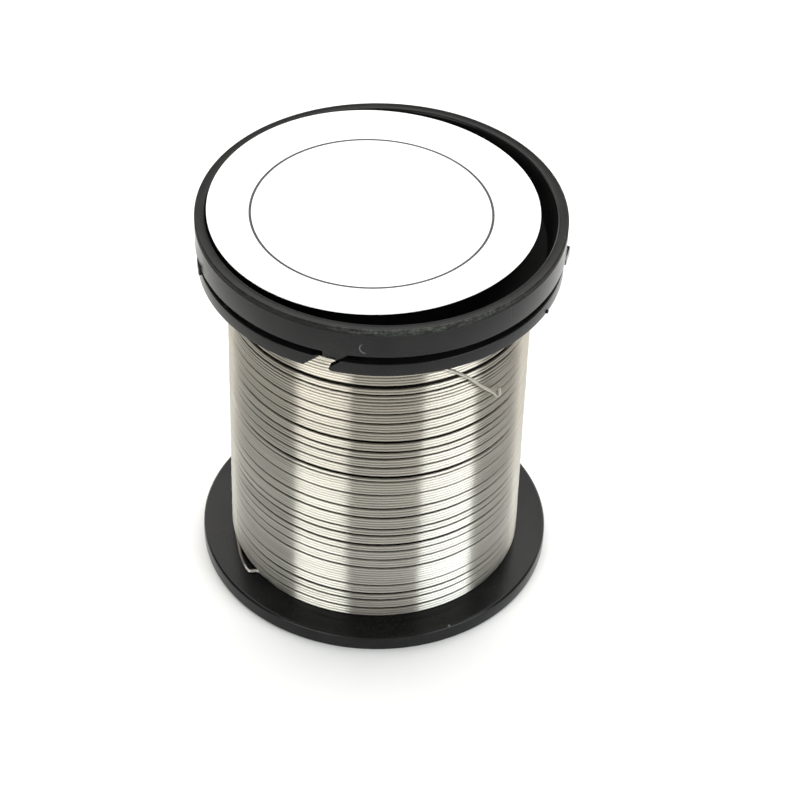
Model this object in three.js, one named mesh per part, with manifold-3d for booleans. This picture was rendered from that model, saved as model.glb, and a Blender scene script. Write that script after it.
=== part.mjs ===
// A small reel of fine solder wire, standing on its lower flange.
//
// Two mouldings hold the wire between them. The lower one is a flange and a hollow barrel in one
// piece, and a slotted winding flange is seated on the barrel's neck. A dished end cap plugs into
// the barrel above that flange. Its lip stands a millimetre clear of the flange, and the groove
// between them catches the wire's end. A round paper label is stuck on the cap's central boss.
//
// Millimetres, +Z up, origin at the centre of the lower flange's underside. Azimuths are degrees
// from the front, -Y, and grow towards the right, +X.

import * as THREE from 'three';
import { mergeVertices } from 'three/addons/utils/BufferGeometryUtils.js';
import Module from 'manifold-3d';

const wasm = await Module();
wasm.setup();

// Driving dimensions.
const REEL_RADIUS = 21;
const REEL_HEIGHT = 49.2;
const EDGE_ROUND = 0.35;
const RIM_ROUND = 0.15;
const ROUND_STEPS = 72;

const LOWER_FLANGE_THICKNESS = 2.1;
const BARREL_RADIUS = 14;
const BARREL_WALL = 1.6;
const BORE_RADIUS = 5.2;

const WINDING_FLANGE_RADIUS = 20.8;
const WINDING_FLANGE_BOTTOM = 42.7;
const WINDING_FLANGE_TOP = 44.4;
const WINDING_FLANGE_ROUND = 0.15;
const NECK_RADIUS = 13.2;
const NECK_TOP = 44.2;
const SEAT_CLEARANCE = 0.15;

const SLOT_AZIMUTH = -16.5;
const SLOT_WIDTH = 2.65;
const SLOT_LEAN = 1.07;
const SLOT_FOOT = -2.25;
const SLOT_DEPTH_RADIUS = 16.8;
const SLOT_HOOK_HEIGHT = 0.38;
const SLOT_HOOK_REACH = 0.45;
const SLOT_OVERRUN = 0.15;
const SLOT_RELIEF_WIDTH = 2.2;
const SLOT_RELIEF_RADIUS = 19.9;

// The burr that stands up at the slot's upper left corner, as [sideways, height] points.
const SLOT_TIP = [[-1.3, 44.3], [-0.5, 44.3], [-0.22, 44.6], [-0.5, 44.62]];
const SLOT_TIP_INNER = 20.1;
const SLOT_TIP_INSET = 0.05;

const CAP_UNDERSIDE = 44.6;
const CAP_FLOOR_TOP = 45.6;
const CAP_LIP_BOTTOM = 45.5;
const CAP_LIP_ROOT = 45.0;
const CAP_NECK_RADIUS = 18.4;
const CAP_WALL_INNER_TOP = 19.7;
const CAP_WALL_INNER_FOOT = 19.1;
const CAP_FLOOR_CHAMFER = 0.35;
const BOSS_RADIUS = 8;
const SPIGOT_RADIUS = 12.2;
const SPIGOT_WALL = 1.4;
const SPIGOT_BOTTOM = 30.6;
const SPIGOT_LEAD_IN = 0.4;
const SPIGOT_SLOTS = 4;
const SPIGOT_SLOT_WIDTH = 2.4;
const SPIGOT_SLOT_TOP = 42.5;

const TOOTH_AZIMUTH = -12.3;
const TOOTH_LEFT = -1.35;
const TOOTH_EDGE_HEIGHT = 44.9;
const TOOTH_EDGE_END = 0.05;
const TOOTH_TIP = 0.4;
const TOOTH_TIP_HEIGHT = 44.7;
const TOOTH_RIGHT = 1.4;
const TOOTH_DEPTH = 1.6;
const TOOTH_INSET = 0.05;

// The wedge-shaped moulding nibs under the lip, one on each side: how proud each of them stands
// of the lip at its left end and at its right end.
const NIBS = [
  { azimuth: -73.7, length: 1.9, proudLeft: 0.02, proudRight: 0.22 },
  { azimuth: 85, length: 2.2, proudLeft: 0.02, proudRight: 0.3 },
];
const NIB_DEPTH = 0.7;
const NIB_BOTTOM = 44.65;
const JOIN_OVERLAP = 0.2;

const LABEL_RADIUS = 18.75;
const LABEL_THICKNESS = 0.12;
const LABEL_LIFT = 0.05;
const LABEL_CENTRE = [-0.91, 0.28];

const WIRE_DIAMETER = 0.38;
const WOUND_RADIUS = 17.5;
const WOUND_BOTTOM = 2.15;
const WOUND_TOP = 41.65;
const LAYER_GAP = 0.07;
const BARREL_GAP = 0.2;

// The loose end, from where it lifts off the last turn to its tip: azimuth, radius, height.
const TAIL_ROUTE = [
  [8, 17.76, 41.45],
  [15, 17.76, 41.2],
  [20, 17.77, 40.75],
  [25, 17.8, 40.05],
  [28.5, 17.83, 39.35],
  [31.5, 17.87, 38.6],
  [36, 17.95, 37.3],
  [39, 17.98, 36.2],
  [42, 18.0, 35.15],
  [45.5, 18.05, 34.05],
  [47.5, 18.12, 33.3],
  [48.2, 18.24, 32.9],
  [48.6, 18.4, 33.1],
  [48.4, 18.52, 33.65],
  [47.9, 18.58, 34.45],
];
const TAIL_STEPS = 56;
const TAIL_SIDES = 8;

const blackPlastic = () => new THREE.MeshStandardMaterial({ color: 0x242425, roughness: 0.5, metalness: 0 });
const solder = () => new THREE.MeshStandardMaterial({ color: 0xbdb8ae, roughness: 0.3, metalness: 1 });
const paper = () => new THREE.MeshStandardMaterial({ color: 0xfbfbfa, roughness: 0.85, metalness: 0 });

/** A point at an azimuth, a radius and a height. */
function polar(azimuth, radius, height) {
  const a = THREE.MathUtils.degToRad(azimuth);
  return new THREE.Vector3(radius * Math.sin(a), -radius * Math.cos(a), height);
}

/** A path of radius and height turned once round the Z axis. The path runs up its outer side. */
function turned(path) {
  path.closePath();
  return new THREE.LatheGeometry(path.getPoints(2), ROUND_STEPS).rotateX(Math.PI / 2);
}

/** An outline in the plane that touches the reel at an azimuth, as [sideways, height] points,
 *  pushed outwards from one radius to another. */
function radialPrism(outline, azimuth, innerRadius, outerRadius) {
  const shape = new THREE.Shape(outline.map(([side, height]) => new THREE.Vector2(side, height)));
  const depth = outerRadius - innerRadius;
  const geometry = new THREE.ExtrudeGeometry(shape, { depth, bevelEnabled: false });
  const a = THREE.MathUtils.degToRad(azimuth);
  const sideways = new THREE.Vector3(Math.cos(a), Math.sin(a), 0);
  const upwards = new THREE.Vector3(0, 0, 1);
  const outwards = new THREE.Vector3(Math.sin(a), -Math.cos(a), 0);
  const place = new THREE.Matrix4().makeBasis(sideways, upwards, outwards);
  place.setPosition(polar(azimuth, innerRadius, 0));
  return geometry.applyMatrix4(place);
}

/** An outline in plan at an azimuth, as [sideways, radius] points, pushed up between two heights. */
function uprightPrism(outline, azimuth, bottom, top) {
  const shape = new THREE.Shape(outline.map(([side, radius]) => new THREE.Vector2(side, -radius)));
  const geometry = new THREE.ExtrudeGeometry(shape, { depth: top - bottom, bevelEnabled: false });
  return geometry.translate(0, 0, bottom).rotateZ(THREE.MathUtils.degToRad(azimuth));
}

/** A rectangle as an outline for radialPrism. */
function rectangle(width, bottom, top) {
  const half = width / 2;
  return [[-half, bottom], [half, bottom], [half, top], [-half, top]];
}

/** A closed geometry as a solid that can be joined and cut. */
function solid(geometry) {
  const bare = geometry.index ? geometry.toNonIndexed() : geometry.clone();
  bare.deleteAttribute('normal');
  bare.deleteAttribute('uv');
  const merged = mergeVertices(bare, 1e-4);
  return new wasm.Manifold(new wasm.Mesh({
    numProp: 3,
    vertProperties: new Float32Array(merged.attributes.position.array),
    triVerts: new Uint32Array(merged.index.array),
  }));
}

/** A solid back as a geometry. */
function surface(body) {
  const mesh = body.getMesh();
  const geometry = new THREE.BufferGeometry();
  geometry.setAttribute('position', new THREE.BufferAttribute(new Float32Array(mesh.vertProperties), 3));
  geometry.setIndex(new THREE.BufferAttribute(new Uint32Array(mesh.triVerts), 1));
  return geometry;
}

/** The lower flange and the barrel, one moulding, with the spindle's bore through the flange. */
function flangedBarrel() {
  const inner = BARREL_RADIUS - BARREL_WALL;
  const round = REEL_RADIUS - EDGE_ROUND;
  const path = new THREE.Path();
  path.moveTo(BORE_RADIUS, 0);
  path.lineTo(round, 0);
  path.absarc(round, EDGE_ROUND, EDGE_ROUND, -Math.PI / 2, 0);
  path.absarc(round, LOWER_FLANGE_THICKNESS - EDGE_ROUND, EDGE_ROUND, 0, Math.PI / 2);
  path.lineTo(BARREL_RADIUS, LOWER_FLANGE_THICKNESS);
  path.lineTo(BARREL_RADIUS, WINDING_FLANGE_BOTTOM - SEAT_CLEARANCE);
  path.lineTo(NECK_RADIUS, WINDING_FLANGE_BOTTOM - SEAT_CLEARANCE);
  path.lineTo(NECK_RADIUS, NECK_TOP);
  path.lineTo(inner, NECK_TOP);
  path.lineTo(inner, LOWER_FLANGE_THICKNESS);
  path.lineTo(BORE_RADIUS, LOWER_FLANGE_THICKNESS);
  return turned(path);
}

/** The leaning slot that leads the wire up through the winding flange. It has a hooked lower lip,
 *  and behind that lip it is wider to the right. */
function wireSlot() {
  const below = WINDING_FLANGE_BOTTOM - SLOT_OVERRUN;
  const above = WINDING_FLANGE_TOP + SLOT_OVERRUN;
  const hookTop = WINDING_FLANGE_BOTTOM + SLOT_HOOK_HEIGHT;
  const left = (height) => SLOT_FOOT + SLOT_LEAN * (height - WINDING_FLANGE_BOTTOM);
  const wide = SLOT_WIDTH + SLOT_RELIEF_WIDTH;
  const mouth = [
    [left(below), below],
    [left(hookTop) + SLOT_WIDTH + SLOT_HOOK_REACH, below],
    [left(hookTop) + SLOT_WIDTH, hookTop],
    [left(above) + SLOT_WIDTH, above],
    [left(above), above],
  ];
  const relief = [
    [left(below), below],
    [left(below) + wide, below],
    [left(above) + wide, above],
    [left(above), above],
  ];
  const front = radialPrism(mouth, SLOT_AZIMUTH, SLOT_DEPTH_RADIUS, REEL_RADIUS + 1);
  const back = radialPrism(relief, SLOT_AZIMUTH, SLOT_DEPTH_RADIUS, SLOT_RELIEF_RADIUS);
  return solid(front).add(solid(back));
}

/** The small burr at the slot's upper left corner. */
function slotTip() {
  return radialPrism(SLOT_TIP, SLOT_AZIMUTH, SLOT_TIP_INNER, WINDING_FLANGE_RADIUS - SLOT_TIP_INSET);
}

/** The slotted flange that closes the winding at its top end. */
function windingFlange() {
  const inner = NECK_RADIUS + SEAT_CLEARANCE;
  const edge = WINDING_FLANGE_ROUND;
  const round = WINDING_FLANGE_RADIUS - edge;
  const path = new THREE.Path();
  path.moveTo(inner, WINDING_FLANGE_BOTTOM);
  path.lineTo(round, WINDING_FLANGE_BOTTOM);
  path.absarc(round, WINDING_FLANGE_BOTTOM + edge, edge, -Math.PI / 2, 0);
  path.absarc(round, WINDING_FLANGE_TOP - edge, edge, 0, Math.PI / 2);
  path.lineTo(inner, WINDING_FLANGE_TOP);
  return surface(solid(turned(path)).subtract(wireSlot()).add(solid(slotTip())));
}

/** The cap's turned shape: dish wall, floor, boss for the label, spigot and bore. */
function capBlank() {
  const spigotInner = SPIGOT_RADIUS - SPIGOT_WALL;
  const path = new THREE.Path();
  path.moveTo(BORE_RADIUS, CAP_UNDERSIDE);
  path.lineTo(spigotInner, CAP_UNDERSIDE);
  path.lineTo(spigotInner, SPIGOT_BOTTOM);
  path.lineTo(SPIGOT_RADIUS - SPIGOT_LEAD_IN, SPIGOT_BOTTOM);
  path.lineTo(SPIGOT_RADIUS, SPIGOT_BOTTOM + 2 * SPIGOT_LEAD_IN);
  path.lineTo(SPIGOT_RADIUS, CAP_UNDERSIDE);
  path.lineTo(CAP_NECK_RADIUS, CAP_UNDERSIDE);
  path.lineTo(CAP_NECK_RADIUS, CAP_LIP_ROOT);
  path.lineTo(REEL_RADIUS, CAP_LIP_BOTTOM);
  path.absarc(REEL_RADIUS - RIM_ROUND, REEL_HEIGHT - RIM_ROUND, RIM_ROUND, 0, Math.PI / 2);
  path.absarc(CAP_WALL_INNER_TOP + EDGE_ROUND, REEL_HEIGHT - EDGE_ROUND, EDGE_ROUND, Math.PI / 2, Math.PI);
  path.lineTo(CAP_WALL_INNER_FOOT, CAP_FLOOR_TOP + CAP_FLOOR_CHAMFER);
  path.lineTo(CAP_WALL_INNER_FOOT - CAP_FLOOR_CHAMFER, CAP_FLOOR_TOP);
  path.lineTo(BOSS_RADIUS, CAP_FLOOR_TOP);
  path.lineTo(BOSS_RADIUS, REEL_HEIGHT);
  path.lineTo(BORE_RADIUS, REEL_HEIGHT);
  return turned(path);
}

/** The pointed tooth under the cap's lip. It closes the slot's mouth and pinches the wire. */
function capTooth() {
  const root = CAP_LIP_BOTTOM + JOIN_OVERLAP;
  const outline = [
    [TOOTH_LEFT, root],
    [TOOTH_LEFT, TOOTH_EDGE_HEIGHT],
    [TOOTH_EDGE_END, TOOTH_EDGE_HEIGHT],
    [TOOTH_TIP, TOOTH_TIP_HEIGHT],
    [TOOTH_RIGHT, CAP_LIP_BOTTOM],
    [TOOTH_RIGHT, root],
  ];
  return radialPrism(outline, TOOTH_AZIMUTH, REEL_RADIUS - TOOTH_DEPTH, REEL_RADIUS - TOOTH_INSET);
}

/** A small moulded nib that hangs from the lip's lower edge. */
function capNib({ azimuth, length, proudLeft, proudRight }) {
  const half = length / 2;
  const outline = [
    [-half, REEL_RADIUS + proudLeft],
    [half, REEL_RADIUS + proudRight],
    [half, REEL_RADIUS - NIB_DEPTH],
    [-half, REEL_RADIUS - NIB_DEPTH],
  ];
  return uprightPrism(outline, azimuth, NIB_BOTTOM, CAP_LIP_BOTTOM + JOIN_OVERLAP);
}

/** A slot up the spigot's wall, which leaves a springy finger on each side of it. */
function spigotSlot(azimuth) {
  const outline = rectangle(SPIGOT_SLOT_WIDTH, SPIGOT_BOTTOM - 1, SPIGOT_SLOT_TOP);
  return radialPrism(outline, azimuth, SPIGOT_RADIUS - SPIGOT_WALL - 1, SPIGOT_RADIUS + 1);
}

/** The dished end cap, one moulding. */
function endCap() {
  let cap = solid(capBlank()).add(solid(capTooth()));
  for (const nib of NIBS) {
    cap = cap.add(solid(capNib(nib)));
  }
  for (let i = 0; i < SPIGOT_SLOTS; i += 1) {
    cap = cap.subtract(solid(spigotSlot(45 + (360 / SPIGOT_SLOTS) * i)));
  }
  return surface(cap);
}

/** The round paper label, stuck to the boss a little off the reel's axis. */
function label() {
  const height = REEL_HEIGHT + LABEL_LIFT + LABEL_THICKNESS / 2;
  const disc = new THREE.CylinderGeometry(LABEL_RADIUS, LABEL_RADIUS, LABEL_THICKNESS, ROUND_STEPS);
  return disc.rotateX(Math.PI / 2).translate(LABEL_CENTRE[0], LABEL_CENTRE[1], height);
}

/** A ring of wound wire between two radii. */
function woundRing(inner, outer) {
  const path = new THREE.Path();
  path.moveTo(inner, WOUND_BOTTOM);
  path.lineTo(outer, WOUND_BOTTOM);
  path.lineTo(outer, WOUND_TOP);
  path.lineTo(inner, WOUND_TOP);
  return turned(path);
}

/** The wire's free end, a thin tube that lies over the outer turns. */
function wireTail() {
  const route = new THREE.CatmullRomCurve3(TAIL_ROUTE.map((stop) => polar(...stop)));
  const section = new THREE.Shape();
  section.absarc(0, 0, WIRE_DIAMETER / 2, 0, 2 * Math.PI);
  const corners = section.getSpacedPoints(TAIL_SIDES).slice(0, TAIL_SIDES);
  return new THREE.ExtrudeGeometry(new THREE.Shape(corners), { steps: TAIL_STEPS, extrudePath: route });
}

/** Adds a named mesh to a group. */
function add(group, name, geometry, material) {
  const mesh = new THREE.Mesh(geometry, material);
  mesh.name = name;
  group.add(mesh);
}

const outerLayerRadius = WOUND_RADIUS - WIRE_DIAMETER;

const reel = new THREE.Group();
add(reel, 'flanged_barrel', flangedBarrel(), blackPlastic());
add(reel, 'winding_flange', windingFlange(), blackPlastic());
add(reel, 'inner_turns', woundRing(BARREL_RADIUS + BARREL_GAP, outerLayerRadius - LAYER_GAP), solder());
add(reel, 'outer_turns', woundRing(outerLayerRadius, WOUND_RADIUS), solder());
add(reel, 'wire_tail', wireTail(), solder());

const cap = new THREE.Group();
add(cap, 'end_cap', endCap(), blackPlastic());
add(cap, 'label', label(), paper());

const spool = new THREE.Group();
spool.add(reel, cap);

export default spool;
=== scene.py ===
# A small reel of fine solder wire on a white table: the looks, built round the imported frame.
import math
import random

import bmesh
import bpy
from mathutils import Matrix, Vector


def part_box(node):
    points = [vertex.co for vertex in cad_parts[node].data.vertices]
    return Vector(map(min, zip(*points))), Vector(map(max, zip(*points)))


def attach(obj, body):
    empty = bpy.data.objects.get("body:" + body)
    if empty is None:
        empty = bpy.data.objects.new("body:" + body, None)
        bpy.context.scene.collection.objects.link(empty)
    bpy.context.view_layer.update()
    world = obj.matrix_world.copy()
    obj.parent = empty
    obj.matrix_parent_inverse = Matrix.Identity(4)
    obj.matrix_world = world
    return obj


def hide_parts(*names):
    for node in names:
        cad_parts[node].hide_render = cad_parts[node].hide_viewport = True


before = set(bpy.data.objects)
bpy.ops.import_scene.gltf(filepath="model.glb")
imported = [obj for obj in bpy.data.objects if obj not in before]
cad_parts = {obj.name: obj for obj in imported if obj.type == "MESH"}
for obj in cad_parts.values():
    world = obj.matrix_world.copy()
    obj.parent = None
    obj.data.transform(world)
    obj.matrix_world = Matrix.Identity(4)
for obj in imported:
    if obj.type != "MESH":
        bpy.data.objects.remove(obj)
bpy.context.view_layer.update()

MM = 0.001
TAU = 2 * math.pi

# Places and sizes from the frame, in metres.
base_low, base_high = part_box("flanged_barrel")
cap_low, cap_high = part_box("end_cap")
flange_low, flange_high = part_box("winding_flange")
label_low, label_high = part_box("label")
wound_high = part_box("outer_turns")[1]
inner_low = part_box("inner_turns")[0]

REEL_RADIUS = base_high.y
REEL_TOP = cap_high.z
FLANGE_RADIUS = flange_high.x
WOUND_RADIUS = wound_high.x
LABEL_RADIUS = (label_high.x - label_low.x) / 2
LABEL_CENTRE = (label_low + label_high) / 2

# Sizes that the frame's boxes don't hold, in metres. Azimuths are in degrees from the front, and a
# lean is a distance sideways for each unit of height.
LOWER_FLANGE_THICKNESS = 2.1 * MM
EDGE_ROUND = 0.35 * MM
BARREL_RADIUS = 14 * MM
BARREL_INNER = 12.4 * MM
BARREL_FILLET = 0.3 * MM
BORE_RADIUS = 5.2 * MM
BORE_CHAMFER = 0.2 * MM
NECK_RADIUS = 13.2 * MM
NECK_TOP = 44.2 * MM
NECK_CHAMFER = 0.2 * MM
SEAT_CLEARANCE = 0.15 * MM

WINDING_FLANGE_TOP = 44.4 * MM
FLANGE_EDGE_ROUND = 0.13 * MM
SLOT_AZIMUTH = -16.5
SLOT_LEAN = 1.07
SLOT_FOOT = -2.25 * MM
SLOT_WIDTH = 2.65 * MM
SLOT_RELIEF_WIDTH = 2.2 * MM
SLOT_INNER = 16.8 * MM
SLOT_RELIEF_INNER = 16.75 * MM
SLOT_RELIEF_OUTER = 19.9 * MM
SLOT_TIP_INNER = 20.1 * MM
SLOT_OVERRUN = 0.15 * MM
HOOK_HEIGHT = 0.38 * MM
BURR_AZIMUTH = 64
BURR_ROOT = 0.3 * MM
BURR_PROUD = 0.15 * MM

CAP_UNDERSIDE = 44.6 * MM
CAP_FLOOR_TOP = 45.6 * MM
CAP_LIP_BOTTOM = 45.5 * MM
CAP_LIP_ROOT = 45.0 * MM
CAP_LIP_ROUND = 0.12 * MM
CAP_NECK_RADIUS = 18.4 * MM
CAP_WALL_INNER_TOP = 19.7 * MM
CAP_WALL_INNER_FOOT = 19.1 * MM
CAP_FLOOR_CHAMFER = 0.35 * MM
RIM_ROUND = 0.15 * MM
RIM_WEAR = 0.7 * MM
BOSS_RADIUS = 8 * MM
SPIGOT_RADIUS = 12.2 * MM
SPIGOT_INNER = 10.8 * MM
SPIGOT_LEAD = 0.4 * MM
SPIGOT_SLOTS = 4
SPIGOT_SLOT_WIDTH = 2.4 * MM
SPIGOT_SLOT_TOP = 42.5 * MM
GROOVE_START = 0.3 * MM
LIP_ROOT_DEPTH = 0.2 * MM
TOOTH_AZIMUTH = -12.3
TOOTH_ROOT = 1.6 * MM
# The moulding remains under the cap's lip: azimuth, length, and how far each end stands out, in
# degrees and millimetres.
NIBS = ((-73.7, 1.9, 0.02, 0.22), (85, 2.2, 0.02, 0.3))
NIB_DROP = 0.85 * MM
NIB_DEPTH = 0.7 * MM

WIRE_DIAMETER = 0.38 * MM

# How far a cutting tool reaches past the part, and how far a joined one stays inside its edge.
PAST = 1 * MM
INSET = 0.05 * MM
FINE_STEPS = 256


def directions(azimuth):
    """The sideways and outwards directions at an azimuth in degrees, 0 at the front, -Y."""
    a = math.radians(azimuth)
    return Vector((math.cos(a), math.sin(a), 0)), Vector((math.sin(a), -math.cos(a), 0))


# ---------------------------------------------------------------- camera, light and floor

CAMERA_ELEVATION = 41.43
CAMERA_ROLL = 1.83
CAMERA_DISTANCE = 318.7 * MM
CAMERA_TARGET = Vector((2.71, 0, 21.09)) * MM
CAMERA_LENS = 120.6

WARM_WHITE = (1.0, 0.985, 0.96)
FOOT_HEIGHT = 0.02
# Each softbox: name, azimuth and lean in degrees, distance, width and height in metres, radiance, colour.
SOFTBOXES = (("left_softbox", -36.5, -6, 1.0, 0.68, 0.9, 3.3, (0.985, 1.0, 0.97)),
             ("right_softbox", 54.2, 10, 1.0, 0.7, 0.9, 4.0, (0.93, 0.98, 1.0)),
             ("front_fill", 12, 0, 1.0, 0.9, 0.9, 0.47, (1.0, 0.97, 0.92)),
             ("left_rim_light", -140, 0, 1.4, 1.15, 1.0, 1.25, (1.0, 0.985, 0.95)),
             ("right_rim_light", 138, 0, 1.4, 1.15, 1.0, 1.35, (1.0, 0.985, 0.95)),
             ("backdrop", 180, 0, 1.6, 2.0, 0.7, 1.6, WARM_WHITE))
OVERHEAD_PLACE = (0, 0.72, 1.5)
ROOM_COLOUR = (1.0, 0.96, 0.89, 1)
ROOM_STRENGTH = 0.07
FLOOR_HALF = 3.0


def make_camera():
    """A long lens from the front and above, rolled by a degree or two."""
    data = bpy.data.cameras.new("camera")
    data.lens = CAMERA_LENS
    data.sensor_width = 36
    data.clip_start = 0.01
    camera = bpy.data.objects.new("camera", data)
    elevation = math.radians(CAMERA_ELEVATION)
    forward = Vector((0, math.cos(elevation), -math.sin(elevation)))
    right = Vector((1, 0, 0))
    up = right.cross(forward)
    roll = math.radians(CAMERA_ROLL)
    rolled_right = math.cos(roll) * right + math.sin(roll) * up
    rolled_up = math.cos(roll) * up - math.sin(roll) * right
    axes = Matrix((rolled_right, rolled_up, -forward)).transposed()
    place = CAMERA_TARGET - CAMERA_DISTANCE * forward
    camera.matrix_world = Matrix.Translation(place) @ axes.to_4x4()
    bpy.context.scene.collection.objects.link(camera)
    bpy.context.scene.camera = camera


def area_light(name, width, tall, radiance, colour):
    """A rectangular light that shows this radiance on its face. It shines along its own -Z."""
    data = bpy.data.lights.new(name, "AREA")
    data.shape = "RECTANGLE"
    data.size = width
    data.size_y = tall
    data.energy = 4 * radiance * width * tall
    data.color = colour
    light = bpy.data.objects.new(name, data)
    light.visible_camera = False
    bpy.context.scene.collection.objects.link(light)
    return light


def standing_softbox(name, azimuth, lean, distance, width, tall, radiance, colour):
    """A softbox that faces the reel from an azimuth. It stands upright, or its top leans over by an
    angle towards larger azimuths."""
    light = area_light(name, width, tall, radiance, colour)
    sideways, outwards = directions(azimuth)
    tilt = math.radians(lean)
    upwards = math.cos(tilt) * Vector((0, 0, 1)) + math.sin(tilt) * sideways
    axes = Matrix((upwards.cross(outwards), upwards, outwards)).transposed()
    place = distance * outwards + Vector((0, 0, tall / 2 + FOOT_HEIGHT))
    light.matrix_world = Matrix.Translation(place) @ axes.to_4x4()


def make_lights():
    """Two leaning softboxes give the winding its two bright bands. The others soften the rest."""
    for softbox in SOFTBOXES:
        standing_softbox(*softbox)
    overhead = area_light("overhead_softbox", 2.6, 1.6, 2.3, WARM_WHITE)
    overhead.location = OVERHEAD_PLACE
    overhead.rotation_euler = (-overhead.location).to_track_quat("-Z", "Y").to_euler()


def make_world():
    """A dim, warm room, and the plain view transform."""
    world = bpy.data.worlds.new("studio")
    world.use_nodes = True
    background = world.node_tree.nodes["Background"]
    background.inputs["Color"].default_value = ROOM_COLOUR
    background.inputs["Strength"].default_value = ROOM_STRENGTH
    bpy.context.scene.world = world
    bpy.context.scene.view_settings.view_transform = "Standard"
    bpy.context.scene.view_settings.look = "None"


def make_floor():
    """A plain white table."""
    mesh = bpy.data.meshes.new("floor")
    half = FLOOR_HALF
    corners = [(-half, -half, 0), (half, -half, 0), (half, half, 0), (-half, half, 0)]
    mesh.from_pydata(corners, [], [(0, 1, 2, 3)])
    floor = bpy.data.objects.new("floor", mesh)
    mesh.materials.append(new_material("white_table", (0.95, 0.95, 0.95), 0.6)[0])
    bpy.context.scene.collection.objects.link(floor)


# ---------------------------------------------------------------- materials


class Nodes:
    """A short way to add and join shader nodes."""

    def __init__(self, tree):
        self.tree = tree

    def add(self, kind, **values):
        node = self.tree.nodes.new(kind)
        for name, value in values.items():
            setattr(node, name, value)
        return node

    def join(self, source, target):
        self.tree.links.new(source, target)

    def math(self, operation, a, b=None):
        node = self.add("ShaderNodeMath", operation=operation)
        for socket, value in zip(node.inputs, (a, b)):
            self.feed(value, socket)
        return node.outputs[0]

    def times(self, first, *others):
        """The product of two or more values."""
        for other in others:
            first = self.math("MULTIPLY", first, other)
        return first

    def feed(self, value, socket):
        """Joins a node's output to a socket, or sets the socket to a plain number."""
        if value is None:
            return
        if isinstance(value, (int, float)):
            socket.default_value = value
        else:
            self.join(value, socket)

    def noise(self, vector, scale, detail=2.0, roughness=0.5):
        node = self.add("ShaderNodeTexNoise")
        self.join(vector, node.inputs["Vector"])
        node.inputs["Scale"].default_value = scale
        node.inputs["Detail"].default_value = detail
        node.inputs["Roughness"].default_value = roughness
        return node.outputs["Fac"]

    def spread(self, value, from_low, from_high, to_low, to_high):
        """A value mapped from one range to another, and held at the ends."""
        node = self.add("ShaderNodeMapRange")
        node.clamp = True
        self.feed(value, node.inputs["Value"])
        node.inputs["From Min"].default_value = from_low
        node.inputs["From Max"].default_value = from_high
        node.inputs["To Min"].default_value = to_low
        node.inputs["To Max"].default_value = to_high
        return node.outputs["Result"]

    def mix(self, factor, a, b):
        node = self.add("ShaderNodeMix", data_type="RGBA")
        self.feed(factor, node.inputs["Factor"])
        for socket, colour in ((node.inputs[6], a), (node.inputs[7], b)):
            if isinstance(colour, tuple):
                socket.default_value = (*colour, 1)
            else:
                self.join(colour, socket)
        return node.outputs[2]

    def place(self):
        """The point being shaded, in its piece's own frame, which is the reel's."""
        return self.add("ShaderNodeTexCoord").outputs["Object"]

    def around(self, place):
        """Azimuth in radians, radius and height of a point, in the reel's frame."""
        parts = self.add("ShaderNodeSeparateXYZ")
        self.join(place, parts.inputs[0])
        x, y, z = parts.outputs
        azimuth = self.math("ARCTAN2", x, self.times(y, -1.0))
        squares = self.math("ADD", self.times(x, x), self.times(y, y))
        return azimuth, self.math("SQRT", squares), z

    def vector(self, x, y, z):
        node = self.add("ShaderNodeCombineXYZ")
        for socket, value in zip(node.inputs, (x, y, z)):
            self.feed(value, socket)
        return node.outputs[0]

    def evened(self, place, evenness, upward):
        """The surface's normal, drawn part of the way to one that leans upwards from the reel's axis."""
        parts = self.add("ShaderNodeSeparateXYZ")
        self.join(place, parts.inputs[0])
        flat = self.add("ShaderNodeVectorMath", operation="NORMALIZE")
        self.join(self.vector(parts.outputs[0], parts.outputs[1], 0.0), flat.inputs[0])
        leaning = self.add("ShaderNodeVectorMath", operation="ADD")
        self.join(flat.outputs[0], leaning.inputs[0])
        leaning.inputs[1].default_value = (0, 0, math.tan(math.radians(upward)))
        mixed = self.add("ShaderNodeMix", data_type="VECTOR")
        self.feed(evenness, mixed.inputs["Factor"])
        self.join(self.add("ShaderNodeNewGeometry").outputs["Normal"], mixed.inputs[4])
        self.join(leaning.outputs[0], mixed.inputs[5])
        whole = self.add("ShaderNodeVectorMath", operation="NORMALIZE")
        self.join(mixed.outputs[1], whole.inputs[0])
        return whole.outputs[0]

    def bump(self, height, strength, distance, normal=None):
        """A normal bent by a height, on top of an earlier one where it is given."""
        node = self.add("ShaderNodeBump")
        node.inputs["Strength"].default_value = strength
        node.inputs["Distance"].default_value = distance
        self.feed(height, node.inputs["Height"])
        if normal is not None:
            self.join(normal, node.inputs["Normal"])
        return node.outputs["Normal"]


def new_material(name, colour, roughness, metallic=0.0):
    """A material with a principled shader, and its nodes."""
    material = bpy.data.materials.new(name)
    material.use_nodes = True
    shader = material.node_tree.nodes["Principled BSDF"]
    shader.inputs["Base Color"].default_value = (*colour, 1)
    shader.inputs["Roughness"].default_value = roughness
    shader.inputs["Metallic"].default_value = metallic
    return material, Nodes(material.node_tree)


def shader_of(material):
    """A material's principled shader."""
    return material.node_tree.nodes["Principled BSDF"]


# Where the cap's marks are: azimuths in radians from the front, and places along its wall.
SCUFF_AND_HIGHLIGHT_AZIMUTH = 0.28
SCRATCH_ASIDE = -1.1 * MM
SCRATCH_HEIGHT = 46.75 * MM
SCRATCH_BOW = 0.68 * MM
SEAM_AZIMUTH = math.radians(43.7)
SEAM_HEIGHT = 47.6 * MM
SEAM_HALF_LENGTH = 1.1 * MM


def within(n, value, centre, half, soft):
    """1 where a value is within half of a centre, falling to 0 over a soft edge."""
    away = n.math("ABSOLUTE", n.math("SUBTRACT", value, centre))
    return n.spread(away, half, half + soft, 1, 0)


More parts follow.
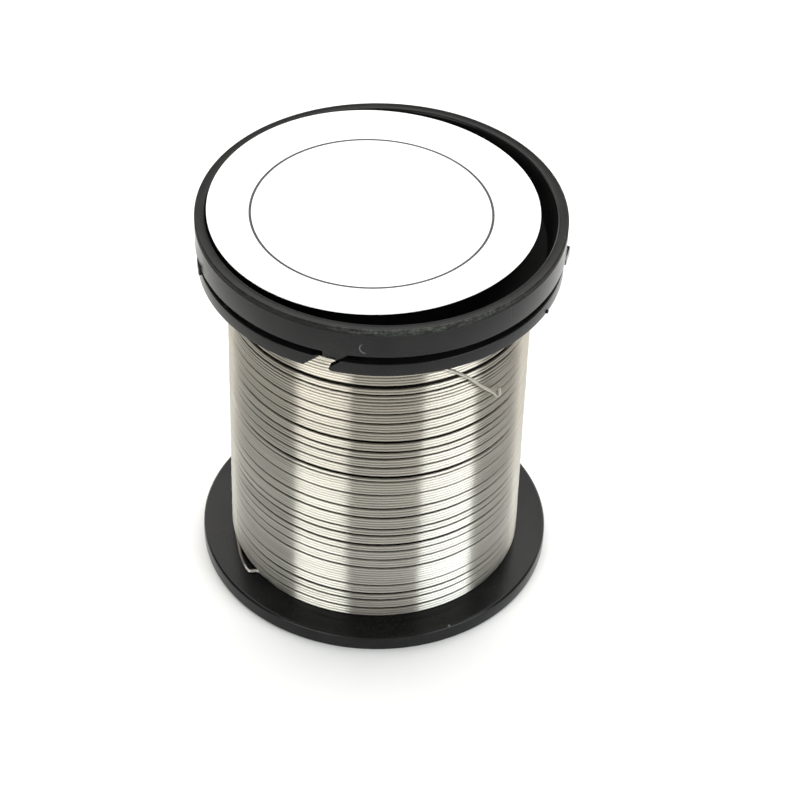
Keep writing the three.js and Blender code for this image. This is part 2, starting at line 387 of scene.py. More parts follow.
def on_outer_wall(n, radius, depth):
    """1 on the cap's outer wall, 0 from a depth under it inwards."""
    return n.spread(radius, REEL_RADIUS - depth, REEL_RADIUS - depth + 0.1 * MM, 0, 1)


def edge_scuffs_and_highlight(n, place, azimuth, radius, height):
    """Whitish scuffs along the cap's upper outer edge, most of them at the front and the right: partly real
    scuffs and partly a painted highlight of the rounded edge.
    """
    band = n.spread(height, REEL_TOP - 0.8 * MM, REEL_TOP - 0.3 * MM, 0, 1)
    along = n.vector(n.times(azimuth, 14), 0.0, n.times(height, 2500))
    blotch = n.spread(n.noise(along, 1.0, 4.0, 0.65), 0.42, 0.62, 0.15, 1)
    off_front = n.math("SUBTRACT", azimuth, SCUFF_AND_HIGHLIGHT_AZIMUTH)
    front = n.spread(n.math("COSINE", off_front), 0.8, 0.97, 0.2, 1)
    speckle = n.spread(n.noise(place, 3500, 3.0), 0.35, 0.6, 0.3, 1)
    return n.times(band, on_outer_wall(n, radius, 0.3 * MM), blotch, front, speckle)


def scratch(n, azimuth, radius, height):
    """A short bowed scratch on the cap's wall, just left of the front."""
    aside = n.math("SUBTRACT", n.times(azimuth, REEL_RADIUS), SCRATCH_ASIDE)
    above = n.math("SUBTRACT", height, SCRATCH_HEIGHT)
    squares = n.math("ADD", n.times(aside, aside), n.times(above, above))
    line = within(n, n.math("SQRT", squares), SCRATCH_BOW, 0.04 * MM, 0.06 * MM)
    left_half = n.spread(aside, -0.2 * MM, 0.1 * MM, 1, 0)
    lower_part = n.spread(above, 0.35 * MM, 0.6 * MM, 1, 0)
    return n.times(line, left_half, lower_part, on_outer_wall(n, radius, 0.5 * MM))


def witness_line(n, azimuth, radius, height):
    """The faint upright line that the mould left on the cap's wall."""
    line = within(n, azimuth, SEAM_AZIMUTH, 0.0012, 0.0012)
    wall = within(n, height, SEAM_HEIGHT, SEAM_HALF_LENGTH, 0.1 * MM)
    return n.times(line, wall, on_outer_wall(n, radius, 0.5 * MM))


def specks(n, place):
    """Sparse pale specks of dust."""
    cells = n.add("ShaderNodeTexVoronoi")
    n.join(place, cells.inputs["Vector"])
    cells.inputs["Scale"].default_value = 420
    near = n.spread(cells.outputs["Distance"], 0.05, 0.09, 1, 0)
    channels = n.add("ShaderNodeSeparateColor")
    n.join(cells.outputs["Color"], channels.inputs[0])
    chosen = n.spread(channels.outputs[0], 0.93, 0.94, 0, 1)
    return n.times(near, chosen)


DEEP_BLACK = (0.0045, 0.0045, 0.005)
SOFT_BLACK = (0.0085, 0.0084, 0.0082)
SMUDGED = (0.04, 0.039, 0.037)
DUST = (0.13, 0.13, 0.12)
WORN_AND_HIGHLIGHT = (0.075, 0.08, 0.07)
SCRATCHED = (0.075, 0.075, 0.075)
SEAM_BLACK = (0.001, 0.001, 0.001)


def black_plastic(name, specular, low_rough, high_rough):
    """Moulded black plastic: a fine grain, faint flow marks, scuffs that are partly a painted edge highlight,
    a scratch and a little dust.
    """
    material, n = new_material(name, (0.005, 0.005, 0.005), low_rough)
    shader = shader_of(material)
    shader.inputs["Specular IOR Level"].default_value = specular
    place = n.place()
    azimuth, radius, height = n.around(place)
    grain = n.noise(place, 9000, 3.0, 0.6)
    cloud = n.noise(place, 260, 4.0, 0.55)
    along = n.vector(n.times(azimuth, 1.4), n.times(radius, 300), n.times(height, 500))
    flow = n.noise(along, 1.0, 4.0, 0.6)
    tone = n.mix(n.spread(cloud, 0.35, 0.7, 0, 1), DEEP_BLACK, SOFT_BLACK)
    smudge = n.spread(n.noise(place, 1900, 5.0, 0.7), 0.66, 0.8, 0, 0.4)
    tone = n.mix(smudge, tone, SMUDGED)
    tone = n.mix(n.times(specks(n, place), 0.8), tone, DUST)
    # Painted highlight: the pale band along the upper outer edge is partly real scuffs and partly the rounded
    # edge's highlight painted into the colour.
    wear = edge_scuffs_and_highlight(n, place, azimuth, radius, height)
    tone = n.mix(wear, tone, WORN_AND_HIGHLIGHT)
    tone = n.mix(scratch(n, azimuth, radius, height), tone, SCRATCHED)
    seam = witness_line(n, azimuth, radius, height)
    tone = n.mix(seam, tone, SEAM_BLACK)
    n.join(tone, shader.inputs["Base Color"])
    rough = n.math("ADD", n.spread(flow, 0.3, 0.7, low_rough, high_rough), n.spread(grain, 0.3, 0.7, 0, 0.06))
    n.join(n.math("ADD", rough, n.times(wear, 0.3)), shader.inputs["Roughness"])
    fine = n.bump(grain, 0.12, 0.02 * MM)
    waved = n.bump(cloud, 0.05, 0.1 * MM, fine)
    sunk = n.bump(n.times(seam, -1), 0.6, 0.05 * MM, waved)
    n.join(sunk, shader.inputs["Normal"])
    return material


SHADE_PAINTED_SOLDER = (0.12, 0.112, 0.098)
STRAND_LEAN = 22


def darker_and_warmer(colour):
    """The same colour a little darker and warmer, used for the wire higher up."""
    red, green, blue = colour
    return 0.87 * red, 0.83 * green, 0.79 * blue


def turn_tone(n, azimuth, height, light, dark):
    """Each turn has a tone of its own between dark and light. Higher up both are darker and warmer."""
    turn = n.noise(n.vector(n.times(azimuth, 0.7), 0.0, n.times(height, 2200)), 1.0, 1.0)
    share = n.spread(turn, 0.3, 0.7, 0, 1)
    lower = n.mix(share, dark, light)
    upper = n.mix(share, darker_and_warmer(dark), darker_and_warmer(light))
    return n.mix(n.spread(height, 9 * MM, 34 * MM, 0, 1), lower, upper)


def wound_share(n, radius, height):
    """1 on the outer layer's turns, less of it near the top, and 0 on the free stretches of wire."""
    laid = n.spread(radius, WOUND_RADIUS + 0.02 * MM, WOUND_RADIUS + 0.12 * MM, 1, 0)
    off_flange = n.spread(height, 2.45 * MM, 2.6 * MM, 0, 1)
    fading = n.spread(height, 24 * MM, 31 * MM, 1, 0.65)
    return n.times(laid, off_flange, fading)


def solder_wire(name, light, dark, low_rough, high_rough, evenness):
    """Bright drawn tin alloy. Streaks run along the wire, and the loose stretch that lies on the
    lower flange at the left is coloured darker: painted shade at the foot of the winding. Evenness flattens
    the shading across each wound strand."""
    material, n = new_material(name, light, low_rough, 1.0)
    shader = shader_of(material)
    shader.inputs["Anisotropic"].default_value = 1.0
    shader.inputs["Anisotropic Rotation"].default_value = 0.25
    tangent = n.add("ShaderNodeTangent", direction_type="RADIAL", axis="Z")
    n.join(tangent.outputs[0], shader.inputs["Tangent"])
    place = n.place()
    azimuth, radius, height = n.around(place)
    along = n.vector(n.times(azimuth, 3.0), n.times(radius, 9000), n.times(height, 9000))
    streak = n.noise(along, 1.0, 3.0, 0.6)
    tone = turn_tone(n, azimuth, height, light, dark)
    tone = n.mix(n.spread(streak, 0.5, 0.8, 0, 0.3), tone, dark)
    # Painted shade: the loose stretch low on the lower flange, left of the front, is coloured darker where it
    # lies at the foot of the winding.
    low = n.spread(height, 2.5 * MM, 2.6 * MM, 1, 0)
    at_left = n.spread(azimuth, -1.02, -0.97, 1, 0)
    n.join(n.mix(n.times(low, at_left), tone, SHADE_PAINTED_SOLDER), shader.inputs["Base Color"])
    n.join(n.spread(streak, 0.3, 0.7, low_rough, high_rough), shader.inputs["Roughness"])
    share = n.times(wound_share(n, radius, height), evenness)
    n.join(n.evened(place, share, STRAND_LEAN), shader.inputs["Normal"])
    return material


def label_paper():
    """Smooth white label stock with a faint fibre."""
    material, n = new_material("label_paper", (0.93, 0.93, 0.925), 0.62)
    shader = shader_of(material)
    place = n.place()
    fibre = n.noise(place, 4200, 5.0, 0.7)
    cloud = n.noise(place, 500, 2.0)
    tone = n.mix(n.spread(cloud, 0.3, 0.7, 0, 1), (0.92, 0.92, 0.915), (0.945, 0.945, 0.94))
    n.join(tone, shader.inputs["Base Color"])
    n.join(n.spread(fibre, 0.3, 0.7, 0.55, 0.7), shader.inputs["Roughness"])
    n.join(n.bump(fibre, 0.1, 0.02 * MM), shader.inputs["Normal"])
    return material


def printed_ink():
    """Thin black print, a little broken by the paper under it."""
    material, n = new_material("printed_ink", (0.02, 0.02, 0.02), 0.55)
    shader = shader_of(material)
    wear = n.noise(n.place(), 6000, 3.0)
    tone = n.mix(n.spread(wear, 0.5, 0.8, 0, 0.5), (0.018, 0.018, 0.02), (0.2, 0.2, 0.2))
    n.join(tone, shader.inputs["Base Color"])
    return material


# ---------------------------------------------------------------- shapes


def polar(azimuth, radius, height):
    """A point at an azimuth in degrees from the front, a radius and a height."""
    a = math.radians(azimuth)
    return Vector((radius * math.sin(a), -radius * math.cos(a), height))


def arc(centre, radius, start, end, steps):
    """Points of an arc in the plane of radius and height, angles in degrees."""
    points = []
    for i in range(steps + 1):
        a = math.radians(start + (end - start) * i / steps)
        points.append((centre[0] + radius * math.cos(a), centre[1] + radius * math.sin(a)))
    return points


def link(name, mesh):
    """A new object with a mesh or a curve, placed in the scene."""
    piece = bpy.data.objects.new(name, mesh)
    bpy.context.scene.collection.objects.link(piece)
    return piece


def turned(name, profile, steps=FINE_STEPS):
    """A closed profile of (radius, height) points turned once round the Z axis."""
    count = len(profile)
    points, faces = [], []
    for i in range(steps):
        a = TAU * i / steps
        points += [(r * math.cos(a), r * math.sin(a), z) for r, z in profile]
    for i in range(steps):
        j = (i + 1) % steps
        for k in range(count):
            m = (k + 1) % count
            faces.append((i * count + k, j * count + k, j * count + m, i * count + m))
    mesh = bpy.data.meshes.new(name)
    mesh.from_pydata(points, [], faces)
    return link(name, mesh)


def prism(name, points, count):
    """A solid between two outlines of the same number of points."""
    faces = [tuple(reversed(range(count))), tuple(range(count, 2 * count))]
    for k in range(count):
        m = (k + 1) % count
        faces.append((k, m, count + m, count + k))
    mesh = bpy.data.meshes.new(name)
    mesh.from_pydata(points, [], faces)
    return link(name, mesh)


def radial_prism(name, outline, azimuth, inner, outer):
    """An outline of (sideways, height) points pushed outwards between two radii at an azimuth."""
    sideways, outwards = directions(azimuth)
    points = []
    for radius in (inner, outer):
        points += [sideways * s + outwards * radius + Vector((0, 0, h)) for s, h in outline]
    return prism(name, points, len(outline))


def upright_prism(name, outline, azimuth, bottom, top):
    """An outline of (sideways, radius) points in plan at an azimuth, pushed up between two heights."""
    sideways, outwards = directions(azimuth)
    points = []
    for height in (bottom, top):
        points += [sideways * s + outwards * r + Vector((0, 0, height)) for s, r in outline]
    return prism(name, points, len(outline))


def in_metres(outline, base=0.0):
    """An outline given in millimetres, its second values counted from a base in metres."""
    return [(a * MM, base + b * MM) for a, b in outline]


def joined(piece, tool, operation):
    """Joins tool to piece, or cuts it away, and removes it."""
    modifier = piece.modifiers.new("bool", "BOOLEAN")
    modifier.operation = operation
    modifier.solver = "EXACT"
    modifier.object = tool
    bake_modifiers(piece)
    bpy.data.objects.remove(tool)


def bake_modifiers(piece):
    """Turns what a piece's modifiers make into its own mesh."""
    graph = bpy.context.evaluated_depsgraph_get()
    mesh = bpy.data.meshes.new_from_object(piece.evaluated_get(graph))
    piece.modifiers.clear()
    piece.data = mesh


def smooth(piece, angle=35):
    """Smooth shading, with edges left sharp where they turn more than an angle."""
    piece.data.shade_smooth()
    piece.data.set_sharp_from_angle(angle=math.radians(angle))


def finish_piece(piece, body, slot, *nodes):
    """Ties a piece to its body and hides the nodes it stands for. The slot argument is not used."""
    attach(piece, body)
    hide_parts(*nodes)


# ---------------------------------------------------------------- the wire

# The wire's section and the outer layer are laid out in millimetres.
WIRE = WIRE_DIAMETER / MM
OUTER_LAYER = WOUND_RADIUS / MM - WIRE / 2
UNDER_LAYER = OUTER_LAYER - 0.87 * WIRE

# The outer layer's widest gaps: height of the gap, and its width.
WIDE_GAPS = ((3.6, 0.24), (5.9, 0.32), (10.6, 0.28), (13.9, 0.36), (18.1, 0.3), (24.5, 0.44), (28.4, 0.3),
             (30.1, 0.42), (31.7, 0.2), (32.9, 0.24), (34.3, 0.22), (36.9, 0.27), (38.2, 0.54))
# How the turns lie together between those: from which height up, how many touch, and the gaps between.
GROUPS = ((0.0, (4, 5, 6, 7), (0.2, 0.28)),
          (9.0, (2, 3, 3, 4, 5), (0.2, 0.3)),
          (28.0, (1,), (0.03, 0.12)))
TOP_TURN = 41.4
FIRST_GAP = 0.05
TURN_POINTS = 72
# Between these azimuths each turn climbs to the next one's height.
STEP_START = 100
STEP_END = 180
# The turns' slant across the reel, which fades out towards the flanges, and how far they stray inwards.
TILT = 0.4
LEVEL_NEAR_FLANGES = 7.0
STRAY = 0.022
# How deep the layer below sinks under a wide gap, and over what height it does.
SINK = 0.55
SINK_REACH = 0.5
SINK_FROM = 0.15
# The ribs that stand for that layer's turns: the lowest one's height, how many, and their spacing.
LOWEST_RIB = 2.53
RIB_COUNT = 101
RIB_SPACING = (TOP_TURN - 2.6) / RIB_COUNT

# Where the wire comes out of the layer below and runs down over the outer layer to its first turn,
# and where it lifts off the last one to its free end: azimuth, radius and height.
LEAD_IN = ((-104, 16.95, 2.62), (-97, 17.05, 2.5), (-90, 17.12, 2.42), (-83, 17.2, 2.36),
           (-77, 17.28, 2.33), (-73, 17.36, 2.32), (-69, 17.5, 2.31), (-65, 17.75, 2.31),
           (-61, 18.02, 2.31), (-57.5, 18.24, 2.31), (-55, 18.34, 2.31), (-53.8, 18.25, 2.32),
           (-53.1, 17.9, 2.33), (-52.4, 17.5, 2.34), (-50.5, 17.33, 2.34), (-41, 17.31, 2.34))
LIFT_OFF = ((-22, 17.34, 41.4), (-10, 17.55, 41.42))
TAIL_ROUTE = ((8, 17.76, 41.45), (15, 17.76, 41.2), (20, 17.77, 40.75), (25, 17.8, 40.05),
              (28.5, 17.83, 39.35), (31.5, 17.87, 38.6), (36, 17.95, 37.3), (39, 17.98, 36.2),
              (42, 18.0, 35.15), (45.5, 18.05, 34.05), (47.5, 18.12, 33.3), (48.2, 18.24, 32.9),
              (48.6, 18.4, 33.1), (48.4, 18.52, 33.65), (47.9, 18.58, 34.45))


def smoothstep(low, high, value):
    """0 at a low value, 1 at a high one, and a smooth rise between."""
    t = min(max((value - low) / (high - low), 0), 1)
    return t * t * (3 - 2 * t)


def grouping(height):
    """How many turns touch, and the gaps between such groups, at a height in millimetres."""
    return [(counts, gaps) for start, counts, gaps in GROUPS if height >= start][-1]


def turn_heights():
    """Heights of the outer layer's turns, in millimetres, from the lower flange up."""
    chance = random.Random(11)
    heights = [(base_low.z + LOWER_FLANGE_THICKNESS) / MM + FIRST_GAP + WIRE / 2]
    left_in_group = 3
    while heights[-1] < TOP_TURN - 0.1:
        below = heights[-1]
        counts, gaps = grouping(below)
        gap = 0.0
        left_in_group -= 1
        if left_in_group == 0:
            gap = chance.uniform(*gaps)
            left_in_group = chance.choice(counts)
        for gap_height, width in WIDE_GAPS:
            if below < gap_height - WIRE / 2 <= below + WIRE + gap:
                gap = width
                left_in_group = 3
        heights.append(below + WIRE + gap)
    heights[-1] = TOP_TURN
    return heights


def layer_wobble(azimuth, height):
    """A slow waver that neighbouring turns share, in millimetres."""
    a = math.radians(azimuth)
    slow = math.sin(2 * a + 0.35 * height) + 0.7 * math.sin(3 * a - 0.21 * height + 1.3)
    return 0.028 * slow + 0.018 * math.sin(7 * a + 0.9 * height)


def wound_point(theta, heights, strays):
    """A point of the outer layer, where theta counts degrees along the whole winding."""
    turn = math.floor((theta + 180) / 360)
    azimuth = theta - 360 * turn
    upper = heights[min(turn + 1, len(heights) - 1)]
    level = heights[turn] + (upper - heights[turn]) * smoothstep(STEP_START, STEP_END, azimuth)
    free = min(level - heights[0], heights[-1] - level)
    ease = smoothstep(0, LEVEL_NEAR_FLANGES, free)
    side, phase = strays[turn]
    a = math.radians(azimuth)
    level += ease * (layer_wobble(azimuth, level) - TILT * math.sin(a))
    radius = OUTER_LAYER + side * math.sin(3 * a + phase)
    return polar(azimuth, radius, level) * MM


def through(stops, step=0.35):
    """A smooth line through stops of azimuth, radius and height, as points about a step apart."""
    knots = [polar(*stop) for stop in stops]
    knots = [2 * knots[0] - knots[1]] + knots + [2 * knots[-1] - knots[-2]]
    points = []
    for before, start, end, after in zip(knots, knots[1:], knots[2:], knots[3:]):
        count = max(2, round((end - start).length / step))
        for i in range(count):
            t = i / count
            curve = (2 * start + (end - before) * t + (2 * before - 5 * start + 4 * end - after) * t ** 2
                     + (3 * start - before - 3 * end + after) * t ** 3) / 2
            points.append(curve * MM)
    points.append(knots[-2] * MM)
    return points


def wire_route():
    """The whole outer layer as one wire, from the layer below to the free end."""
    chance = random.Random(5)
    heights = turn_heights()
    strays = [(chance.uniform(0.0, STRAY), chance.uniform(0, TAU)) for _ in heights]
    first = LEAD_IN[-1][0] + 360 / TURN_POINTS
    last = 360 * (len(heights) - 1) + LIFT_OFF[0][0]
    points = through(LEAD_IN)
    theta = first
    while theta < last - 1:
        points.append(wound_point(theta, heights, strays))
        theta += 360 / TURN_POINTS
    return points + through(LIFT_OFF + TAIL_ROUTE)


def make_wire(material):
    """The outer layer and the free end, one round wire along its route."""
    points = wire_route()
    curve = bpy.data.curves.new("wound_wire", "CURVE")
    curve.dimensions = "3D"
    curve.bevel_depth = WIRE_DIAMETER / 2
    curve.bevel_resolution = 3
    curve.use_fill_caps = True
    spline = curve.splines.new("POLY")
    spline.points.add(len(points) - 1)
    for knot, place in zip(spline.points, points):
        knot.co = (*place, 1)
    spline.use_smooth = True
    curve.materials.append(material)
    wire = link("wound_wire", curve)
    finish_piece(wire, "reel", "solder_wire", "outer_turns", "wire_tail")


def make_under_turns(material):
    """The layers under the outer one: a ribbed ring that sinks where the outer layer has a wide gap."""
    inside = BARREL_RADIUS / MM + 0.2
    profile = [(inside, TOP_TURN + 0.15), (inside, inner_low.z / MM)]
    for i in range(RIB_COUNT):
        centre = LOWEST_RIB + i * RIB_SPACING
        sink = sum(SINK * (1 - smoothstep(width, width + SINK_REACH, abs(centre - height)))
                   for height, width in WIDE_GAPS if width > SINK_FROM)
        profile += arc((UNDER_LAYER - sink - WIRE / 2, centre), WIRE / 2, -80, 80, 4)
    piece = turned("under_turns", in_metres(profile), 128)
    smooth(piece, 75)
    piece.data.materials.append(material)
    finish_piece(piece, "reel", "solder_wire", "inner_turns")


# ---------------------------------------------------------------- the mouldings


def clad(piece, plastic, dull, is_dull):
    """Gives a piece the plain finish, and the dull one where a test of radius and height asks for it."""
    piece.data.materials.append(plastic)
    piece.data.materials.append(dull)
    for face in piece.data.polygons:
        x, y, z = face.center
        face.material_index = 1 if is_dull(math.hypot(x, y), z) else 0


def rounded_edge(radius, low, high, r):
    """The outer edge of a flange between two heights, both of its corners rounded."""
    return arc((radius - r, low + r), r, -90, 0, 8) + arc((radius - r, high - r), r, 0, 90, 8)


def flanged_barrel_piece(plastic, dull):
    """The lower flange and the hollow barrel, one moulding."""
    top = LOWER_FLANGE_THICKNESS
    seat = flange_low.z - SEAT_CLEARANCE
    chamfer_foot = NECK_TOP - NECK_CHAMFER
    profile = [(BORE_RADIUS, BORE_CHAMFER), (BORE_RADIUS + BORE_CHAMFER, 0)]
    profile += rounded_edge(REEL_RADIUS, 0, top, EDGE_ROUND)
    profile += [(BARREL_RADIUS + BARREL_FILLET, top), (BARREL_RADIUS, top + BARREL_FILLET),
                (BARREL_RADIUS, seat), (NECK_RADIUS, seat), (NECK_RADIUS, chamfer_foot),
                (NECK_RADIUS - NECK_CHAMFER, NECK_TOP), (BARREL_INNER + NECK_CHAMFER, NECK_TOP),
                (BARREL_INNER, chamfer_foot), (BARREL_INNER, top), (BORE_RADIUS, top)]
    piece = turned("lower_flange_and_barrel", profile)
    smooth(piece)
    clad(piece, plastic, dull, lambda radius, height: radius < BARREL_RADIUS)
    finish_piece(piece, "reel", "black_plastic", "flanged_barrel")


def wire_slot_outlines():
    """The leaning slot as sideways and height: its mouth with a hooked lower lip, and the wider
    part behind that lip. The hook's nose is rounded with a few points."""
    low = flange_low.z - SLOT_OVERRUN
    high = WINDING_FLANGE_TOP + SLOT_OVERRUN

    def left(height):
        return SLOT_FOOT + SLOT_LEAN * (height - flange_low.z)

    def past_left(height, width):
        return left(height) + width, height

    hook = flange_low.z + HOOK_HEIGHT
    nose = left(hook) + SLOT_WIDTH
    lip = [(nose + s * MM, hook + h * MM) for s, h in ((0.43, -0.36), (0.1, -0.18), (0, 0), (0.08, 0.16))]
    mouth = [past_left(low, 0), (nose + 0.52 * MM, low), *lip,
             past_left(high, SLOT_WIDTH), past_left(high, 0)]
    wide = SLOT_WIDTH + SLOT_RELIEF_WIDTH
    relief = [past_left(low, 0), past_left(low, wide), past_left(high, wide), past_left(high, 0)]
    return mouth, relief


def winding_flange_piece(plastic, dull):
    """The flange that closes the winding, with the slot that leads the wire up and out."""
    inner = NECK_RADIUS + SEAT_CLEARANCE
    profile = [(inner, flange_low.z)]
    profile += rounded_edge(FLANGE_RADIUS, flange_low.z, WINDING_FLANGE_TOP, FLANGE_EDGE_ROUND)
    profile += [(inner, WINDING_FLANGE_TOP)]
    piece = turned("slotted_winding_flange", profile)
    mouth, relief = wire_slot_outlines()
    joined(piece, radial_prism("mouth", mouth, SLOT_AZIMUTH, SLOT_INNER, REEL_RADIUS + PAST), "DIFFERENCE")
    joined(piece, radial_prism("relief", relief, SLOT_AZIMUTH, SLOT_RELIEF_INNER, SLOT_RELIEF_OUTER),
           "DIFFERENCE")
    tip = in_metres([(-1.3, -0.1), (-0.5, -0.1), (-0.22, 0.2), (-0.5, 0.22)], WINDING_FLANGE_TOP)
    joined(piece, radial_prism("tip", tip, SLOT_AZIMUTH, SLOT_TIP_INNER, FLANGE_RADIUS - INSET), "UNION")
    burr = in_metres([(-0.2, 0.1), (0.05, 0), (0.22, 0.18), (0.12, 0.42), (-0.15, 0.4)], flange_low.z)
    root, proud = FLANGE_RADIUS - BURR_ROOT, FLANGE_RADIUS + BURR_PROUD
    joined(piece, radial_prism("burr", burr, BURR_AZIMUTH, root, proud), "UNION")
    smooth(piece)
    shaded = FLANGE_RADIUS - 1.5 * FLANGE_EDGE_ROUND
    clad(piece, plastic, dull, lambda radius, height: radius < shaded)
    finish_piece(piece, "reel", "black_plastic", "winding_flange")


def cap_profile():
    """The cap's turned outline of radius and height, from the bore outwards and back over the top."""
    r = EDGE_ROUND
    outer = RIM_ROUND
    small = CAP_LIP_ROUND
    profile = [(BORE_RADIUS, CAP_UNDERSIDE), (SPIGOT_INNER, CAP_UNDERSIDE)]
    profile += [(SPIGOT_INNER, cap_low.z), (SPIGOT_RADIUS - SPIGOT_LEAD, cap_low.z)]
    profile += [(SPIGOT_RADIUS, cap_low.z + 2 * SPIGOT_LEAD), (SPIGOT_RADIUS, CAP_UNDERSIDE)]
    profile += [(CAP_NECK_RADIUS, CAP_UNDERSIDE), (CAP_NECK_RADIUS, CAP_LIP_ROOT)]
    profile += arc((REEL_RADIUS - small, CAP_LIP_BOTTOM + small), small, -80, 0, 4)
    profile += [(REEL_RADIUS, REEL_TOP - RIM_WEAR)]
    profile += arc((REEL_RADIUS - outer, REEL_TOP - outer), outer, 0, 90, 6)
    profile += arc((CAP_WALL_INNER_TOP + r, REEL_TOP - r), r, 90, 180, 8)
    profile += [(CAP_WALL_INNER_FOOT, CAP_FLOOR_TOP + CAP_FLOOR_CHAMFER)]
    profile += [(CAP_WALL_INNER_FOOT - CAP_FLOOR_CHAMFER, CAP_FLOOR_TOP)]
    profile += [(BOSS_RADIUS, CAP_FLOOR_TOP), (BOSS_RADIUS, REEL_TOP), (BORE_RADIUS, REEL_TOP)]
    return profile


def add_tooth(cap):
    """The pointed tooth that hangs from the cap's lip over the wire slot."""
    root = LIP_ROOT_DEPTH / MM
    tooth = in_metres([(-1.35, root), (-1.35, -0.52), (-1.25, -0.6), (0.02, -0.6), (0.32, -0.76),
                       (0.42, -0.78), (0.55, -0.72), (1.4, 0), (1.4, root)], CAP_LIP_BOTTOM)
    joined(cap, radial_prism("tooth", tooth, TOOTH_AZIMUTH, REEL_RADIUS - TOOTH_ROOT, REEL_RADIUS - INSET),
           "UNION")


def add_nibs(cap):
    """Small wedges that the mould left under the cap's lip, each prouder at its right end."""
    depth = NIB_DEPTH / MM
    for azimuth, length, left, right in NIBS:
        half = length / 2
        nib = in_metres([(-half, left), (half * 0.8, right), (half, right * 0.7),
                         (half, -depth), (-half, -depth)], REEL_RADIUS)
        bottom, top = CAP_LIP_BOTTOM - NIB_DROP, CAP_LIP_BOTTOM + LIP_ROOT_DEPTH
        joined(cap, upright_prism("nib", nib, azimuth, bottom, top), "UNION")


def cut_spigot_slots(cap):
    """Slots up from the spigot's end, which let its fingers spring inwards."""
    half = SPIGOT_SLOT_WIDTH / 2
    low = cap_low.z - PAST
    gap = [(-half, low), (half, low), (half, SPIGOT_SLOT_TOP), (-half, SPIGOT_SLOT_TOP)]
    for i in range(SPIGOT_SLOTS):
        azimuth = (i + 0.5) * 360 / SPIGOT_SLOTS
        tool = radial_prism("gap", gap, azimuth, SPIGOT_INNER - PAST, SPIGOT_RADIUS + PAST)
        joined(cap, tool, "DIFFERENCE")


def end_cap_piece(plastic, dull):
    """The dished end cap: its lip, dish, boss and slotted spigot are one moulding."""
    piece = turned("dished_end_cap", cap_profile())
    add_tooth(piece)
    add_nibs(piece)
    cut_spigot_slots(piece)
    smooth(piece)

    def is_dull(radius, height):
        in_dish = radius < CAP_WALL_INNER_TOP and height < REEL_TOP - EDGE_ROUND
        in_groove = height < CAP_LIP_BOTTOM and radius < REEL_RADIUS - GROOVE_START
        worn = radius > REEL_RADIUS - RIM_ROUND and height > REEL_TOP - RIM_WEAR
        return in_dish or in_groove or worn

    clad(piece, plastic, dull, is_dull)
    finish_piece(piece, "cap", "black_plastic", "end_cap")


# ---------------------------------------------------------------- the label

PRINT_RADIUS = 13.62 * MM
PRINT_WIDTH = 0.3 * MM
PRINT_CENTRE = Vector((-1.13, -0.38, 0)) * MM
LABEL_RISE = 0.1 * MM
LABEL_TWIST = 0.19 * MM
LABEL_LEAN = 0.07 * MM
FLAT_RADIUS = 9 * MM
RISEN_RADIUS = 20 * MM
LABEL_STEPS = 192


def label_height(x, y):
    """The label lies flat on the boss. Further out it stands up a little and is faintly saddle-shaped:
    high at the front right and the back left, and low at the other two corners."""
    azimuth = math.atan2(x, -y)
    lift = LABEL_RISE + LABEL_TWIST * math.sin(2 * azimuth) + LABEL_LEAN * math.cos(azimuth + 0.65)
    return lift * smoothstep(FLAT_RADIUS, RISEN_RADIUS, math.hypot(x, y))


def label_rings():
    """The rings that the label's faces lie between: from its middle out to the printed circle,
    which is centred on the print, and on to the label's edge, which is centred on the label."""
    centre = Vector((LABEL_CENTRE.x, LABEL_CENTRE.y, 0))
    inner = PRINT_RADIUS - PRINT_WIDTH / 2
    outer = PRINT_RADIUS + PRINT_WIDTH / 2
    within_print = [(PRINT_CENTRE, inner * f) for f in (0.15, 0.4, 0.62, 0.8, 0.92, 1)]
    beyond_print = [(PRINT_CENTRE.lerp(centre, f), outer + (LABEL_RADIUS - outer) * f)
                    for f in (0, 0.1, 0.3, 0.5, 0.7, 0.88, 1)]
    return within_print, beyond_print


def ring_of_points(shape, middle, radius, side_height):
    """One ring of the label's points, on its upper or lower side."""
    loop = []
    for i in range(LABEL_STEPS):
        a = TAU * i / LABEL_STEPS
        x = middle.x + radius * math.cos(a)
        y = middle.y + radius * math.sin(a)
        loop.append(shape.verts.new((x, y, side_height + label_height(x, y))))
    return loop


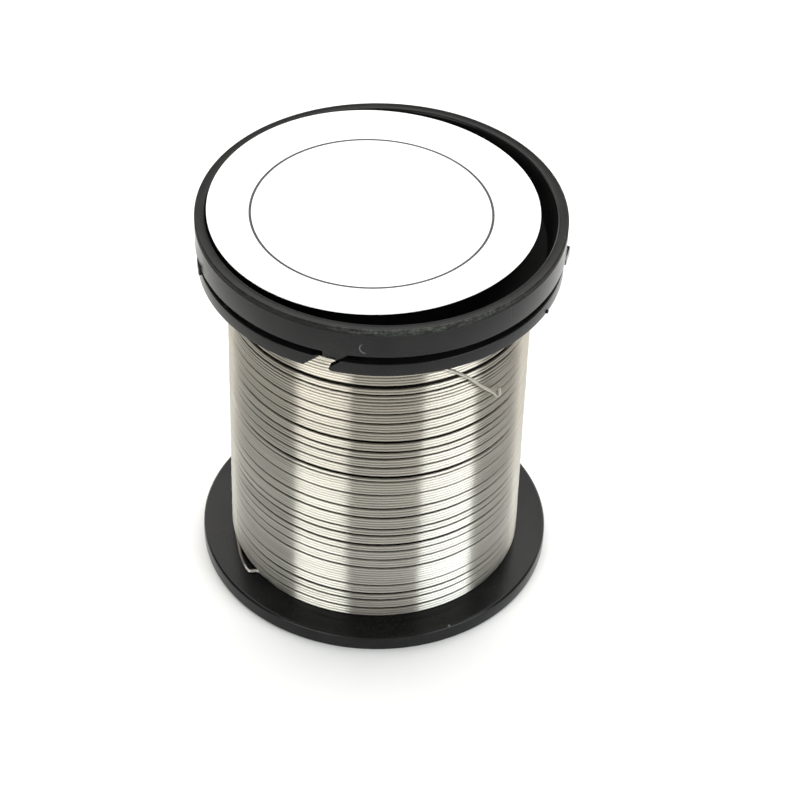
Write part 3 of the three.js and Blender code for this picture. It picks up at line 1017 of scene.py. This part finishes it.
def make_label(paper, ink):
    """The round label with its printed circle, a thin closed sheet."""
    mesh = bpy.data.meshes.new("round_label")
    mesh.materials.append(paper)
    mesh.materials.append(ink)
    shape = bmesh.new()
    within_print, beyond_print = label_rings()
    rings = within_print + beyond_print
    ink_ring = len(within_print) - 1
    top, bottom = [[ring_of_points(shape, middle, radius, height) for middle, radius in rings]
                   for height in (label_high.z, label_low.z)]
    for loops, is_top in ((top, True), (bottom, False)):
        shape.faces.new(loops[0] if is_top else list(reversed(loops[0])))
        for k in range(len(loops) - 1):
            for i in range(LABEL_STEPS):
                j = (i + 1) % LABEL_STEPS
                corners = [loops[k][i], loops[k + 1][i], loops[k + 1][j], loops[k][j]]
                face = shape.faces.new(corners if is_top else list(reversed(corners)))
                face.material_index = 1 if is_top and k == ink_ring else 0
    for i in range(LABEL_STEPS):
        j = (i + 1) % LABEL_STEPS
        shape.faces.new([top[-1][i], bottom[-1][i], bottom[-1][j], top[-1][j]])
    shape.to_mesh(mesh)
    shape.free()
    piece = link("round_label", mesh)
    smooth(piece, 40)
    finish_piece(piece, "cap", "label_paper", "label")


# ---------------------------------------------------------------- the scene

bright = solder_wire("solder_wire", light=(0.514, 0.503, 0.46), dark=(0.417, 0.409, 0.372),
                     low_rough=0.28, high_rough=0.32, evenness=0.25)
make_camera()
make_wire(bright)
# The layers under the outer one get a near-black copy of the wire's colours: painted shade for the dark gaps
# between the outer turns.
shaded = solder_wire("shaded_solder_wire", light=(0.04, 0.038, 0.035), dark=(0.02, 0.019, 0.018),
                     low_rough=0.3, high_rough=0.45, evenness=0.0)
make_under_turns(shaded)
plastic = black_plastic("black_plastic", specular=0.18, low_rough=0.16, high_rough=0.24)
dull_plastic = black_plastic("dull_black_plastic", specular=0.08, low_rough=0.5, high_rough=0.62)
flanged_barrel_piece(plastic, dull_plastic)
winding_flange_piece(plastic, dull_plastic)
end_cap_piece(plastic, dull_plastic)
make_label(label_paper(), printed_ink())
make_floor()
make_lights()
make_world()
